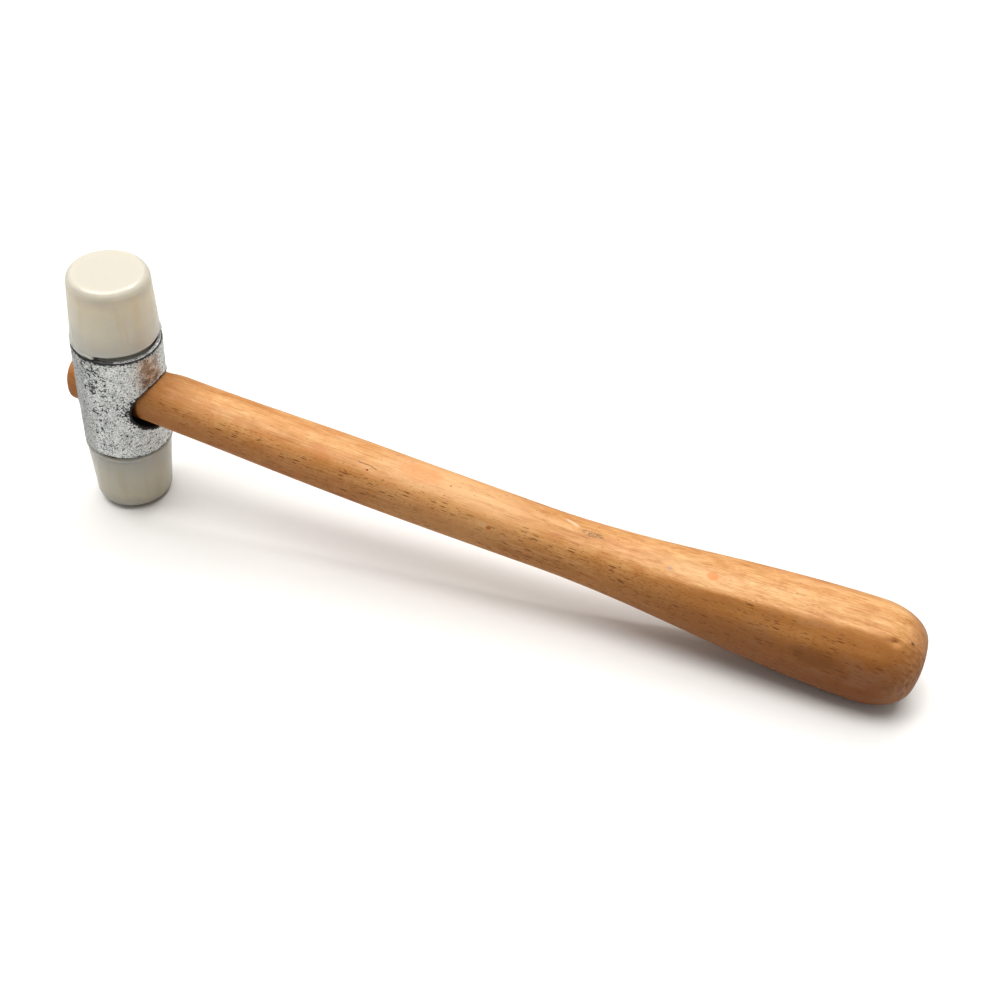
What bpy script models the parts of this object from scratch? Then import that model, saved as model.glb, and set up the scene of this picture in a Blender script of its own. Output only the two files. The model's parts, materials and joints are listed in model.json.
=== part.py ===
"""Nylon-faced mallet: a cast, zinc-coated head with two screw-in nylon faces, on a wedged beech handle.

Metres, +Z up. Every piece is modelled in the head's frame, where Z is the head's axis and the handle
runs out along +X. An empty then sets the mallet down as it rests on a bench, on the edge of its lower
face and on the butt of its handle, with the middle of its bounding box over the origin.
"""
import math

import bmesh
import bpy
from mathutils import Matrix, Vector

MM = 0.001
CLEARANCE = 0.3 * MM            # gap kept between two pieces that touch in the real mallet
MERGE = 0.01 * MM
TURNED_STEPS = 64

# Head: a turned casting with a threaded socket in each end and an oval eye through its middle
HEAD_RADIUS = 13.5 * MM
HEAD_HALF = 19.2 * MM           # from the handle's middle to the end of the cylindrical wall
RIM_RADIUS = 12.7 * MM          # outer radius of the flat machined rim
RIM_RISE = 0.3 * MM             # how far the rim stands beyond the wall, across the chamfer
RIM_Z = HEAD_HALF + RIM_RISE
SOCKET_RADIUS = 11.75 * MM
SOCKET_DEPTH = 8.6 * MM
SOCKET_CHAMFER = 0.35 * MM

# Eye: an oval hole along X that narrows towards the handle's front end
EYE_BACK = (10.0 * MM, 8.85 * MM, -0.75 * MM)    # half width, half height, height of centre, grip side
EYE_FRONT = (9.0 * MM, 8.7 * MM, 0.1 * MM)       # the same at the far side
EYE_POWER = 2.15                # 2 is an ellipse, more is squarer
EYE_OVERCUT = 3.0 * MM          # how far the eye's cutter stands out of the head on either side
LIP_WIDTH = 1.3 * MM            # raised lip round the eye on the grip side
LIP_RISE = 0.35 * MM
LIP_BAND_HALF = 15.4 * MM       # half height of the band that the lip is cut from

# Nylon faces: a tapered body, a collar that stops short of a full turn, and a threaded shank
FACE_END_Z = 43.5 * MM
FACE_END_RADIUS = 12.0 * MM
FACE_CORNER = 2.7 * MM
CORNER_END_DEGREES = 4.0        # where the rounded corner runs into the tapered side
CORNER_STEPS = 6
FACE_BASE_RADIUS = 13.2 * MM
COLLAR_RADIUS = 13.45 * MM
COLLAR_HEIGHT = 1.5 * MM
COLLAR_BASE_Z = RIM_Z + CLEARANCE
COLLAR_TOP_Z = COLLAR_BASE_Z + COLLAR_HEIGHT
COLLAR_CREST = (0.35, 0.7)      # share of its height between which the collar is at its widest
COLLAR_SLOPE = 0.45 * MM        # how far the collar draws in towards its base
COLLAR_GROOVE = 0.25 * MM       # groove between the collar and the tapered body
COLLAR_BREAK = (272.0, 398.0)   # degrees round the axis between which the collar is missing
BREAK_STEPS = 20
BREAK_OVERCUT = (2.0 * MM, 0.2 * MM)   # how far its cutter passes the collar's rim and its base
SHANK_RADIUS = 10.7 * MM
SHANK_END_GAP = 0.4 * MM        # between the shank's end and the socket's floor
SHANK_END_Z = RIM_Z - SOCKET_DEPTH + SHANK_END_GAP
SHANK_CHAMFER = 0.6 * MM
THREAD_CREST = 11.4 * MM
THREAD_RIDGE = 0.75 * MM        # radius of the rounded ridge that forms the thread
THREAD_PITCH = 2.0 * MM
THREAD_POINTS_PER_TURN = 24
THREAD_END_GAPS = (0.2 * MM, 0.3 * MM)  # from the shank's end and from the rim to the thread's ends
THREAD_FADE = (4, 0.8)          # points over which each end sinks in, and by what share of the ridge
UPPER_FACE_TURN = 0.0
LOWER_FACE_TURN = 85.0          # each face stops at its own angle when it is screwed home

# Handle: an oval section, thin behind the head and swelling to the grip
HANDLE_FRONT_X = -14.6 * MM
HANDLE_END_X = 251.4 * MM
HANDLE_ROUND = 1.3 * MM         # rounding of the front end's rim
ROUND_STEPS = 3
EYE_FIT_X = 12.0 * MM           # the handle keeps its fitted size up to here
NECK_X = 20.0 * MM
FRONT_HALF = (8.45 * MM, 8.15 * MM)    # half width, half height at the front end
FIT_HALF = (7.9 * MM, 7.55 * MM)       # the same where the handle leaves the eye
NECK_HALF = 8.15 * MM
SHAFT_HALF = 8.9 * MM
SHAFT_X = 88.0 * MM
SWELL_START_X = 140.0 * MM
SWELL_END_X = 238.0 * MM
GRIP_HALF = 15.0 * MM
GRIP_WIDTH_RATIO = 0.89         # half width over half height at the grip, 1 at the neck
RATIO_START_X = 60.0 * MM
RATIO_END_X = 211.0 * MM
BUTT_LENGTH = 14.8 * MM         # length of the rounded butt
BUTT_FLAT = 5.7 * MM            # half height of the flat in the middle of the butt
BUTT_POWER = 2.1
SECTION_POWER = 2.4             # 2 is an ellipse, more is squarer
HANDLE_RISE = 1.07 * MM         # centre line: height at the head, slope and bow
HANDLE_SLOPE = -0.009
HANDLE_BOW = -1.97 * MM
EYE_CENTRE_Z = 0.1 * MM
SECTION_POINTS = 40
SHAFT_STATIONS = 28
STATION_SPREAD = 1.15           # 1 spaces the stations evenly, more crowds them towards the eye
BUTT_STATIONS = 9

# Wedges in the front end: a hardwood one in the saw kerf and a steel one across it
KERF_DEPTH = 17.0 * MM
KERF_WIDTHS = (2.4 * MM, 1.2 * MM)
KERF_HEIGHT = 21.2 * MM         # taller than the handle, so the kerf is open above and below
CUTTER_LEAD = 1.0 * MM          # how far the cutters stand out in front of the end grain
WOOD_WEDGE_DEPTH = 15.0 * MM
WOOD_WEDGE_WIDTHS = (1.8 * MM, 0.6 * MM)
WOOD_WEDGE_HEIGHT = 14.6 * MM
STEEL_WEDGE_DEPTH = 8.0 * MM
STEEL_WEDGE_WIDTHS = (1.4 * MM, 0.5 * MM)
STEEL_WEDGE_SPAN = 9.0 * MM
WEDGE_SET_BACK = 0.25 * MM      # how far the wedges' ends lie below the end grain

# Search for the resting tilt
STEEPEST_TILT = 20.0            # degrees
TILT_HALVINGS = 40


def clear_scene():
    for old in list(bpy.data.objects):
        bpy.data.objects.remove(old, do_unlink=True)


def make_collection(name):
    group = bpy.data.collections.new(name)
    bpy.context.scene.collection.children.link(group)
    return group


def make_material(name, colour, roughness, metallic=0.0):
    material = bpy.data.materials.new(name)
    material.use_nodes = True
    shader = material.node_tree.nodes["Principled BSDF"]
    shader.inputs["Base Color"].default_value = (*colour, 1.0)
    shader.inputs["Roughness"].default_value = roughness
    shader.inputs["Metallic"].default_value = metallic
    return material


def add_object(name, mesh, group, parent, material=None):
    piece = bpy.data.objects.new(name, mesh)
    group.objects.link(piece)
    piece.parent = parent
    if material:
        mesh.materials.append(material)
    return piece


def hide_guide(piece):
    piece.hide_render = True
    piece.display_type = "WIRE"


def boolean(piece, other, operation):
    modifier = piece.modifiers.new(f"{operation.lower()}_{other.name}", "BOOLEAN")
    modifier.object = other
    modifier.operation = operation
    modifier.solver = "EXACT"


def shade_round(mesh, sharp_degrees=35.0):
    mesh.shade_smooth()
    mesh.set_sharp_from_angle(angle=math.radians(sharp_degrees))


def curve_to_mesh(wire, group, parent):
    """A closed mesh object with the curve object's shape and place. The curve object is removed."""
    bpy.context.view_layer.update()
    evaluated = wire.evaluated_get(bpy.context.evaluated_depsgraph_get())
    mesh = bpy.data.meshes.new_from_object(evaluated)
    shape = bmesh.new()
    shape.from_mesh(mesh)
    bmesh.ops.remove_doubles(shape, verts=shape.verts, dist=MERGE)
    bmesh.ops.recalc_face_normals(shape, faces=shape.faces)
    shape.to_mesh(mesh)
    shape.free()
    name = wire.name
    place = wire.location.copy()
    bpy.data.objects.remove(wire, do_unlink=True)
    piece = add_object(name, mesh, group, parent)
    piece.location = place
    return piece


def turned(name, profile, group, parent, material=None):
    """Turn a profile of (radius, height) points, given from top to bottom, about the Z axis."""
    mesh = bpy.data.meshes.new(name)
    points = [(radius, 0.0, height) for radius, height in profile]
    mesh.from_pydata(points, [(i, i + 1) for i in range(len(points) - 1)], [])
    piece = add_object(name, mesh, group, parent, material)
    screw = piece.modifiers.new("turn", "SCREW")
    screw.steps = TURNED_STEPS
    screw.render_steps = TURNED_STEPS
    screw.use_merge_vertices = True
    screw.merge_threshold = MERGE
    screw.use_smooth_shade = True
    return piece


def arc(centre, radius, start_degrees, end_degrees, steps):
    """Points round an arc, from its start to its end."""
    start, end = math.radians(start_degrees), math.radians(end_degrees)
    angles = [start + (end - start) * i / steps for i in range(steps + 1)]
    return [(centre[0] + radius * math.cos(a), centre[1] + radius * math.sin(a)) for a in angles]


def oval_ring(x, half_width, half_height, centre_z, power=SECTION_POWER, count=SECTION_POINTS):
    """One rounded section across the X axis."""
    ring = []
    for i in range(count):
        angle = 2.0 * math.pi * i / count
        across = math.copysign(abs(math.cos(angle)) ** (2.0 / power), math.cos(angle))
        up = math.copysign(abs(math.sin(angle)) ** (2.0 / power), math.sin(angle))
        ring.append(Vector((x, half_width * across, centre_z + half_height * up)))
    return ring


def loft(name, rings, group, parent, material=None):
    """A closed skin through rings of equal length, from low X to high X, with flat end caps."""
    shape = bmesh.new()
    rows = [[shape.verts.new(point) for point in ring] for ring in rings]
    for near, far in zip(rows, rows[1:]):
        for i in range(len(near)):
            j = (i + 1) % len(near)
            shape.faces.new((near[i], near[j], far[j], far[i]))
    shape.faces.new(reversed(rows[0]))
    shape.faces.new(rows[-1])
    bmesh.ops.recalc_face_normals(shape, faces=shape.faces)
    mesh = bpy.data.meshes.new(name)
    shape.to_mesh(mesh)
    shape.free()
    shade_round(mesh)
    return add_object(name, mesh, group, parent, material)


def smoothstep(value, start, end):
    t = min(max((value - start) / (end - start), 0.0), 1.0)
    return t * t * (3.0 - 2.0 * t)


def mix(low, high, share):
    return low + (high - low) * share


# Head ---------------------------------------------------------------------------------------------

def eye_cutter(group, parent):
    reach = HEAD_RADIUS + EYE_OVERCUT
    rings = []
    for side in (-1.0, 1.0):
        share = (side * reach + HEAD_RADIUS) / (2.0 * HEAD_RADIUS)
        sizes = [mix(front, back, share) for front, back in zip(EYE_FRONT, EYE_BACK)]
        rings.append(oval_ring(side * reach, *sizes, power=EYE_POWER))
    cutter = loft("eye_cutter", rings, group, parent)
    hide_guide(cutter)
    return cutter


def eye_lip(group, parent):
    """The raised lip: the part of a slightly fatter cylinder that lies just round the eye."""
    half_width, half_height, centre_z = EYE_BACK
    radius = HEAD_RADIUS + LIP_RISE
    profile = [(0.0, LIP_BAND_HALF), (radius, LIP_BAND_HALF), (radius, -LIP_BAND_HALF), (0.0, -LIP_BAND_HALF)]
    lip = turned("eye_lip", profile, group, parent)
    rings = [oval_ring(x, half_width + LIP_WIDTH, half_height + LIP_WIDTH, centre_z, power=EYE_POWER)
             for x in (0.0, HEAD_RADIUS + EYE_OVERCUT)]
    bounds = loft("eye_lip_bounds", rings, group, parent)
    boolean(lip, bounds, "INTERSECT")
    hide_guide(lip)
    hide_guide(bounds)
    return lip


def make_head(group, guides, parent, material):
    floor_z = RIM_Z - SOCKET_DEPTH
    half = [(0.0, floor_z), (SOCKET_RADIUS, floor_z), (SOCKET_RADIUS, RIM_Z - SOCKET_CHAMFER),
            (SOCKET_RADIUS + SOCKET_CHAMFER, RIM_Z), (RIM_RADIUS, RIM_Z), (HEAD_RADIUS, HEAD_HALF)]
    profile = half + [(radius, -height) for radius, height in reversed(half)]
    head = turned("head_body", profile, group, parent, material)
    boolean(head, eye_lip(guides, parent), "UNION")
    boolean(head, eye_cutter(guides, parent), "DIFFERENCE")
    return head


# Nylon faces --------------------------------------------------------------------------------------

def thread_ridge(name, group, parent):
    """The thread: a rounded ridge wound on the shank, sinking into it at both ends."""
    low = SHANK_END_Z + THREAD_RIDGE + THREAD_END_GAPS[0]
    high = RIM_Z - THREAD_RIDGE - THREAD_END_GAPS[1]
    turns = (high - low) / THREAD_PITCH
    count = round(turns * THREAD_POINTS_PER_TURN)
    fade_points, fade_share = THREAD_FADE
    curve = bpy.data.curves.new(name, "CURVE")
    curve.dimensions = "3D"
    curve.bevel_depth = THREAD_RIDGE
    curve.bevel_resolution = 1
    curve.use_fill_caps = True
    spline = curve.splines.new("POLY")
    spline.points.add(count)
    for i, point in enumerate(spline.points):
        angle = 2.0 * math.pi * turns * i / count
        sunk = fade_share * (1.0 - smoothstep(min(i, count - i), 0.0, fade_points))
        radius = THREAD_CREST - THREAD_RIDGE * (1.0 + sunk)
        point.co = (radius * math.cos(angle), radius * math.sin(angle), mix(low, high, i / count), 1.0)
    ridge = curve_to_mesh(add_object(name, curve, group, parent), group, parent)
    hide_guide(ridge)
    return ridge


def collar_break(name, group, parent):
    """The stretch that is missing from the collar: a flat sector from the shank outwards."""
    start, end = COLLAR_BREAK
    past_rim, past_base = BREAK_OVERCUT
    outline = arc((0.0, 0.0), COLLAR_RADIUS + past_rim, start, end, BREAK_STEPS)
    outline += arc((0.0, 0.0), SHANK_RADIUS, end, start, BREAK_STEPS)
    curve = bpy.data.curves.new(name, "CURVE")
    curve.dimensions = "2D"
    curve.fill_mode = "BOTH"
    curve.extrude = 0.5 * (COLLAR_HEIGHT + past_base)
    spline = curve.splines.new("POLY")
    spline.points.add(len(outline) - 1)
    spline.use_cyclic_u = True
    for point, (x, y) in zip(spline.points, outline):
        point.co = (x, y, 0.0, 1.0)
    sector = add_object(name, curve, group, parent)
    sector.location.z = COLLAR_TOP_Z - curve.extrude
    cutter = curve_to_mesh(sector, group, parent)
    hide_guide(cutter)
    return cutter


def face_profile():
    """Outline of a face from the middle of its striking end to the middle of its shank's end."""
    corner_centre = (FACE_END_RADIUS - FACE_CORNER, FACE_END_Z - FACE_CORNER)
    corner = arc(corner_centre, FACE_CORNER, 90.0, CORNER_END_DEGREES, CORNER_STEPS)
    crest_low, crest_high = [mix(COLLAR_BASE_Z, COLLAR_TOP_Z, share) for share in COLLAR_CREST]
    return ([(0.0, FACE_END_Z)] + corner +
            [(FACE_BASE_RADIUS, COLLAR_TOP_Z + COLLAR_GROOVE),
             (FACE_BASE_RADIUS - COLLAR_GROOVE, COLLAR_TOP_Z),
             (COLLAR_RADIUS, crest_high),
             (COLLAR_RADIUS, crest_low),
             (COLLAR_RADIUS - COLLAR_SLOPE, COLLAR_BASE_Z),
             (SHANK_RADIUS, COLLAR_BASE_Z),
             (SHANK_RADIUS, SHANK_END_Z + SHANK_CHAMFER),
             (SHANK_RADIUS - SHANK_CHAMFER, SHANK_END_Z),
             (0.0, SHANK_END_Z)])


def make_face(name, turn_degrees, upside_down, group, guides, parent, material):
    """One face on its own pivot, which turns it round the head's axis and points it down if asked."""
    pivot = bpy.data.objects.new(name + "_pivot", None)
    group.objects.link(pivot)
    pivot.parent = parent
    flip = math.pi if upside_down else 0.0
    pivot.rotation_euler = (flip, 0.0, math.radians(turn_degrees))
    face = turned(name, face_profile(), group, pivot, material)
    boolean(face, thread_ridge(name + "_thread", guides, pivot), "UNION")
    boolean(face, collar_break(name + "_collar_break", guides, pivot), "DIFFERENCE")
    return face


# Handle and wedges --------------------------------------------------------------------------------

def handle_centre(x):
    along = x / HANDLE_END_X
    bowed = HANDLE_RISE + HANDLE_SLOPE * x + HANDLE_BOW * 4.0 * along * (1.0 - along)
    return mix(EYE_CENTRE_Z, bowed, smoothstep(x, EYE_FIT_X, NECK_X))


def handle_halves(x):
    """Half width and half height of the handle at x."""
    height = mix(NECK_HALF, SHAFT_HALF, smoothstep(x, NECK_X, SHAFT_X))
    height = mix(height, GRIP_HALF, smoothstep(x, SWELL_START_X, SWELL_END_X))
    width = height * mix(1.0, GRIP_WIDTH_RATIO, smoothstep(x, RATIO_START_X, RATIO_END_X))
    in_eye = [mix(front, fit, smoothstep(x, HANDLE_FRONT_X, EYE_FIT_X))
              for front, fit in zip(FRONT_HALF, FIT_HALF)]
    out = smoothstep(x, EYE_FIT_X, NECK_X)
    return mix(in_eye[0], width, out), mix(in_eye[1], height, out)


def handle_rings():
    rings = []
    for x, y in arc((HANDLE_FRONT_X + HANDLE_ROUND, 0.0), HANDLE_ROUND, 180.0, 90.0, ROUND_STEPS):
        half_width, half_height = handle_halves(x)
        inset = HANDLE_ROUND - y
        rings.append(oval_ring(x, half_width - inset, half_height - inset, handle_centre(x)))
    shaft_end = HANDLE_END_X - BUTT_LENGTH
    rings.append(oval_ring(0.0, *handle_halves(0.0), handle_centre(0.0)))
    for i in range(SHAFT_STATIONS + 1):
        x = mix(EYE_FIT_X, shaft_end, (i / SHAFT_STATIONS) ** STATION_SPREAD)
        rings.append(oval_ring(x, *handle_halves(x), handle_centre(x)))
    end_width, end_height = handle_halves(shaft_end)
    for i in range(1, BUTT_STATIONS + 1):
        angle = 0.5 * math.pi * i / BUTT_STATIONS
        x = shaft_end + BUTT_LENGTH * math.sin(angle) ** (2.0 / BUTT_POWER)
        share = max(math.cos(angle), 0.0) ** (2.0 / BUTT_POWER)
        half_height = mix(BUTT_FLAT, end_height, share)
        half_width = mix(BUTT_FLAT * GRIP_WIDTH_RATIO, end_width, share)
        rings.append(oval_ring(x, half_width, half_height, handle_centre(x)))
    return rings


def tapered_plate(name, front_x, depth, widths, span, across, group, parent, material=None):
    """A wedge driven along +X: `widths` thick at its two ends and `span` long along `across`."""
    shape = bmesh.new()
    bmesh.ops.create_cube(shape, size=1.0)
    for vert in shape.verts:
        is_tip = vert.co.x > 0.0
        thickness = widths[1] if is_tip else widths[0]
        x = front_x + (depth if is_tip else 0.0)
        if across == "Z":
            vert.co = (x, vert.co.y * thickness, EYE_CENTRE_Z + vert.co.z * span)
        else:
            vert.co = (x, vert.co.y * span, EYE_CENTRE_Z + vert.co.z * thickness)
    mesh = bpy.data.meshes.new(name)
    shape.to_mesh(mesh)
    shape.free()
    return add_object(name, mesh, group, parent, material)


def make_handle_and_wedges(group, guides, parent, materials):
    handle = loft("handle", handle_rings(), group, parent, materials["beech"])
    wedge_x = HANDLE_FRONT_X + WEDGE_SET_BACK
    wood = tapered_plate("wedge_wood", wedge_x, WOOD_WEDGE_DEPTH, WOOD_WEDGE_WIDTHS,
                         WOOD_WEDGE_HEIGHT, "Z", group, parent, materials["wedge_wood"])
    steel = tapered_plate("wedge_steel", wedge_x, STEEL_WEDGE_DEPTH, STEEL_WEDGE_WIDTHS,
                          STEEL_WEDGE_SPAN, "Y", group, parent, materials["wedge_steel"])
    kerf = tapered_plate("kerf_cutter", HANDLE_FRONT_X - CUTTER_LEAD, KERF_DEPTH + CUTTER_LEAD, KERF_WIDTHS,
                         KERF_HEIGHT, "Z", guides, parent)
    slot_widths = [width + 2.0 * CLEARANCE for width in STEEL_WEDGE_WIDTHS]
    slot = tapered_plate("steel_wedge_slot", wedge_x, STEEL_WEDGE_DEPTH + CLEARANCE, slot_widths,
                         STEEL_WEDGE_SPAN + 2.0 * CLEARANCE, "Y", guides, parent)
    for vert in slot.data.vertices:
        if vert.co.x < wedge_x + 0.5 * STEEL_WEDGE_DEPTH:
            vert.co.x = HANDLE_FRONT_X - CUTTER_LEAD
    hide_guide(kerf)
    hide_guide(slot)
    boolean(handle, kerf, "DIFFERENCE")
    boolean(handle, slot, "DIFFERENCE")
    boolean(wood, slot, "DIFFERENCE")
    return handle, wood, steel


# Resting pose -------------------------------------------------------------------------------------

def evaluated_points(pieces):
    """The corners of the finished pieces, in world coordinates."""
    bpy.context.view_layer.update()
    graph = bpy.context.evaluated_depsgraph_get()
    points = []
    for piece in pieces:
        finished = piece.evaluated_get(graph)
        points += [finished.matrix_world @ vert.co for vert in finished.to_mesh().vertices]
        finished.to_mesh_clear()
    return points


def lowest(points, tilt):
    turn = Matrix.Rotation(tilt, 3, "Y")
    return min((turn @ point).z for point in points)


def set_down(frame, pieces, lower_face, handle):
    """Tilt the mallet until its lower face and its butt both touch z = 0, then centre it."""
    face_points = evaluated_points([lower_face])
    handle_points = evaluated_points([handle])
    low, high = 0.0, math.radians(STEEPEST_TILT)
    for _ in range(TILT_HALVINGS):
        tilt = 0.5 * (low + high)
        if lowest(handle_points, tilt) > lowest(face_points, tilt):
            low = tilt
        else:
            high = tilt
    frame.rotation_euler = (0.0, tilt, 0.0)
    points = evaluated_points(pieces)
    middle_x = 0.5 * (min(p.x for p in points) + max(p.x for p in points))
    middle_y = 0.5 * (min(p.y for p in points) + max(p.y for p in points))
    frame.location = (-middle_x, -middle_y, -min(p.z for p in points))


def make_mallet():
    clear_scene()
    parts = make_collection("nylon_faced_mallet")
    guides = make_collection("cutters")
    frame = bpy.data.objects.new("mallet_rest_frame", None)
    parts.objects.link(frame)
    materials = {
        "zinc": make_material("zinc_cast", (0.52, 0.54, 0.54), 0.45, 1.0),
        "nylon": make_material("nylon_cream", (0.72, 0.69, 0.58), 0.35),
        "beech": make_material("beech_oiled", (0.62, 0.36, 0.17), 0.45),
        "wedge_wood": make_material("wedge_hardwood", (0.42, 0.25, 0.13), 0.6),
        "wedge_steel": make_material("wedge_mild_steel", (0.35, 0.35, 0.36), 0.4, 1.0),
    }
    head = make_head(parts, guides, frame, materials["zinc"])
    upper = make_face("face_upper", UPPER_FACE_TURN, False, parts, guides, frame, materials["nylon"])
    lower = make_face("face_lower", LOWER_FACE_TURN, True, parts, guides, frame, materials["nylon"])
    handle, wood, steel = make_handle_and_wedges(parts, guides, frame, materials)
    set_down(frame, [head, upper, lower, handle, wood, steel], lower, handle)


make_mallet()
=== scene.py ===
import json
import math
import random

import bmesh
import bpy
import numpy as np
from mathutils import Matrix, Vector, noise


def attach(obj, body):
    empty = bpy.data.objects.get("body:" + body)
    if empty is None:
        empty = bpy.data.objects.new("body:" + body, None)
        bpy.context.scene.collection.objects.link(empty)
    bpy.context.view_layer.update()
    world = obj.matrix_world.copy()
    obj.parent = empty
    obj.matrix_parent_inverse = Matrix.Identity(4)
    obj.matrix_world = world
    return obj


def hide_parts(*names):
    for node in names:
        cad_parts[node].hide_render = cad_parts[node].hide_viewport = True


MM = 0.001
SHARP_ANGLE = 38.0                  # degrees; a steeper edge stays sharp in the shading

# Places along the head's axis and round it, in millimetres and degrees. The head's frame has Z along the
# head's axis, X along the handle and its origin in the middle of the eye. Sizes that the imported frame
# can give are measured from it in measure_frame.
HEAD_COLUMNS = 400
WALL_STEP = 0.22
CHAMFER_RISE = 0.3
CHAMFER_RUN = 0.5
EDGE = 0.05                         # the small bevel at a rim's edges
PIT_LEAST_HALF = 0.13
SOCKET_RADIUS = 11.75
SOCKET_DEPTH = 8.6
SOCKET_CHAMFER = 0.35
SOCKET_CORNER = 0.3

EYE_BACK = (10.0, 8.85, -0.75)      # half width, half height and height of centre on the grip side
EYE_FRONT = (9.0, 8.7, 0.1)         # the same on the far side
EYE_POWER = 2.15
EYE_OVERCUT = 3.0
EYE_STATIONS = 34
EYE_POINTS = 160
LIP_RISE = 0.35
LIP_WIDTH = 1.3
EYE_EDGE_RADIUS = 0.45

FACE_COLUMNS = 288
FACE_END_RADIUS = 12.0
FACE_BASE_RADIUS = 13.2
FACE_CORNER = 2.7
FACE_CORNER_TURN = 86.0             # degrees of arc before the side's straight taper
COLLAR_RADIUS = 13.45
COLLAR_HEIGHT = 1.5
COLLAR_GAP = 0.3
COLLAR_BREAK = (272.0, 398.0)       # degrees round the face where the collar has broken away
COLLAR_BURR = 0.22
BREAK_INSET = 0.75
BREAK_END = 2.2                     # degrees
SHANK_RADIUS = 10.7
SHANK_GAP = 0.4
THREAD_CREST = 11.4
THREAD_PITCH = 2.0
THREAD_HALF = 0.36                  # half a ridge's width, as a share of the pitch
THREAD_PLAIN = 0.9                  # the plain length at both ends of the thread
UPPER_FACE_TURN = 0.0
LOWER_FACE_TURN = 85.0

HANDLE_POINTS = 112
HANDLE_STATIONS = 210
BUTT_STATIONS = 26
HANDLE_ROUND = 1.3
EYE_FIT_X = 12.0
NECK_X = 20.0
FRONT_HALF = (8.45, 8.15)
FIT_HALF = (7.9, 7.55)
NECK_HALF = 8.15
SHAFT_HALF = 8.9
SHAFT_X = 88.0
SWELL_X = (140.0, 238.0)
RIDGE_START = 138.5                 # where the grip's worn ridge starts round the section, in degrees
RIDGE_SLOPE = -0.25                 # and how it turns along the grip, in degrees a millimetre
RIDGE_RISE = 0.55
RIDGE_HOLLOW = 0.22                 # how deep the worn hollow is on both sides of the ridge
NICK_PLACE = (241.5, 115.5)         # along the handle and round it, in degrees
NICK_DEPTH = 0.95
GRIP_HALF = 15.0
GRIP_WIDTH_RATIO = 0.89
RATIO_X = (60.0, 211.0)
BUTT_LENGTH = 14.8
BUTT_FLAT = 5.7
BUTT_POWER = 2.1
BUTT_INSET = 0.07
SECTION_POWER = 2.4
HANDLE_RISE = 1.07
HANDLE_SLOPE = -0.009
HANDLE_BOW = -1.97
EYE_CENTRE_Z = 0.1

KERF_DEPTH = 17.0
KERF_WIDTHS = (2.4, 1.2)
KERF_SPAN = 21.2
WOOD_WEDGE = (15.0, (1.8, 0.6), 14.6)       # depth, thickness at both ends, span
STEEL_WEDGE = (8.0, (1.4, 0.5), 9.0)
WEDGE_SET_BACK = 0.25
WEDGE_BEVEL = 0.09
WEDGE_GRID = 0.8
WEDGE_ROUGHNESS = 0.04
CLEARANCE = 0.3

FLOOR_HALF = 3.0                    # metres, as for the lamps and the camera
LAMP_TARGET = (0.0, 0.0, 0.03)
LAMP_DISTANCE = 1.2
CAMERA_AZIMUTH = 20.365             # degrees
CAMERA_ELEVATION = 42.405
CAMERA_DISTANCE = 0.36552
CAMERA_TARGET = (0.01345, 0.0, 0.047865)
CAMERA_LENS = 46.524                # millimetres, as for the sensor's width
CAMERA_SENSOR = 36.0
CAMERA_SHIFT = (-0.01574, -0.02548)


# Small helpers ------------------------------------------------------------------------------------

def smoothstep(value, start, end):
    t = np.clip((value - start) / (end - start), 0.0, 1.0)
    return t * t * (3.0 - 2.0 * t)


def mix(low, high, share):
    return low + (high - low) * share


def ring_angles(count):
    return 2.0 * math.pi * np.arange(count) / count


def oval_ring(x, half_width, half_height, centre_z, angles, power):
    """Points round a rounded oval that stands across the handle at x."""
    across = np.sign(np.cos(angles)) * np.abs(np.cos(angles)) ** (2.0 / power)
    up = np.sign(np.sin(angles)) * np.abs(np.sin(angles)) ** (2.0 / power)
    return np.stack([np.full_like(angles, x), half_width * across, centre_z + half_height * up], axis=-1)


def grid_noise(points, scale, seed):
    """Smooth noise from about -1 to 1 at each point of an array that ends in (x, y, z), in millimetres."""
    flat = points.reshape(-1, 3) / scale
    offset = Vector((seed * 17.3, seed * 5.9, seed * 11.1))
    values = [noise.noise(Vector(p) + offset) for p in flat.tolist()]
    return np.array(values).reshape(points.shape[:-1])


def add_object(name, data):
    added = bpy.data.objects.new(name, data)
    bpy.context.scene.collection.objects.link(added)
    return added


def apply_modifiers(piece):
    bpy.context.view_layer.update()
    finished = piece.evaluated_get(bpy.context.evaluated_depsgraph_get())
    mesh = bpy.data.meshes.new_from_object(finished)
    piece.modifiers.clear()
    piece.data = mesh


def skin(name, rows):
    """A mesh through rings of equal length, closed at both ends. `rows` is (row, column, xyz) in mm."""
    count, columns = rows.shape[:2]
    points = rows.reshape(-1, 3)
    index = np.arange(count * columns).reshape(count, columns)
    right = np.roll(index, -1, axis=1)
    quads = np.stack([index[:-1], right[:-1], right[1:], index[1:]], axis=-1).reshape(-1, 4)
    faces = quads.tolist()
    for ring, row in ((index[0][::-1], rows[0]), (index[-1], rows[-1])):
        centre = len(points)
        points = np.vstack([points, row.mean(axis=0)])
        faces += [[int(a), int(b), centre] for a, b in zip(ring, np.roll(ring, -1))]
    mesh = bpy.data.meshes.new(name)
    mesh.from_pydata((points * MM).tolist(), [], faces)
    shape = bmesh.new()
    shape.from_mesh(mesh)
    bmesh.ops.recalc_face_normals(shape, faces=shape.faces)
    shape.to_mesh(mesh)
    shape.free()
    return add_object(name, mesh)


def cut(piece, *cutters):
    """Cut the cutters out of a piece, keep the result as its mesh and remove the cutters."""
    for cutter in cutters:
        modifier = piece.modifiers.new("cut", "BOOLEAN")
        modifier.object = cutter
        modifier.operation = "DIFFERENCE"
        modifier.solver = "EXACT"
    apply_modifiers(piece)
    for cutter in cutters:
        bpy.data.objects.remove(cutter, do_unlink=True)


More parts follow.
